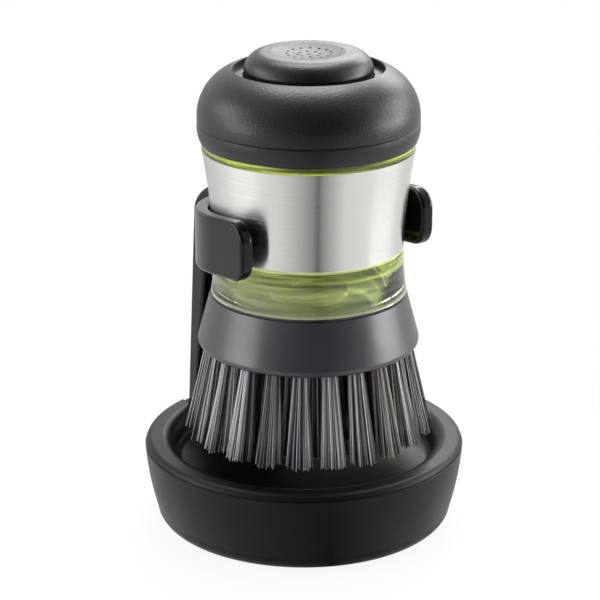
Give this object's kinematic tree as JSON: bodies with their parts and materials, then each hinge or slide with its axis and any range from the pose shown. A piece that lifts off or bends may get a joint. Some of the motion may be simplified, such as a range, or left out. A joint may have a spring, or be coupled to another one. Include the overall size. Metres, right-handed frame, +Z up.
{
  "type": "soap dispensing dish brush with stand",
  "caption": "Round palm dish brush with a clear soap tank, steel sleeve and push-button pump, standing in a holder made of a drip dish, a post and an open clip.",
  "frame": {"origin": "middle of the drip dish at the worktop, level with the undersides of the rubber feet", "axes": "+Z up, -Y towards the open front of the clip, +Y towards the post"},
  "size_m": [0.104, 0.104, 0.1563],
  "materials": {
    "black_plastic": "fine moulded texture",
    "slate_plastic": "satin",
    "cap_plastic": "soft satin",
    "pump_plastic": "plain moulded",
    "tank_plastic": "clear, tinted green",
    "sleeve_steel": "brushed round the sleeve",
    "screw_steel": "plain",
    "filaments": "grey and black nylon",
    "silicone": "matte",
    "foot_rubber": "matte"
  },
  "bodies": {
    "holder": {"base_shell": "black_plastic", "foot_pad_1": "foot_rubber", "foot_pad_2": "foot_rubber", "foot_pad_3": "foot_rubber", "foot_pad_4": "foot_rubber", "drip_tray": "black_plastic", "holder_bracket": "black_plastic", "bracket_screw_1": "screw_steel", "bracket_screw_2": "screw_steel"},
    "brush": {"brush_head": "slate_plastic", "tuft_plate": "slate_plastic", "tufts_outer": "filaments", "tufts_middle": "filaments", "tufts_inner": "filaments", "head_seal": "silicone", "reservoir": "tank_plastic", "steel_sleeve": "sleeve_steel", "outlet_valve": "silicone", "valve_retainer": "tank_plastic"},
    "gasket": {"cap_seal": "silicone"},
    "cap": {"cap_collar": "cap_plastic", "cap_dome": "cap_plastic", "pump_cylinder": "pump_plastic", "air_valve": "silicone", "return_spring": "screw_steel"},
    "button": {"push_button": "cap_plastic", "pump_piston": "pump_plastic", "piston_ring": "silicone"}
  },
  "joints": [
    {"name": "brush_pull", "type": "slide", "parent": "holder", "child": "brush", "axis": [0, -1, 0], "range_m": [0, 0.11]},
    {"name": "cap_lift", "type": "slide", "parent": "brush", "child": "gasket", "axis": [0, 0, 1], "range_m": [0, 0.0081]},
    {"name": "cap_turn", "type": "hinge", "parent": "gasket", "child": "cap", "pos_m": [0, -0.0026, 0.13], "axis": [0, 0, 1], "range_deg": [0, 360]},
    {"name": "button_press", "type": "slide", "parent": "cap", "child": "button", "axis": [0, 0, -1], "range_m": [0, 0.005], "stiffness_N_per_m": 800, "springref_m": -0.003, "deforming": ["return_spring"]}
  ],
  "couplings": [
    {"joint": "cap_lift", "follows": "cap_turn", "m_per_rad": 0.0012732}
  ]
}
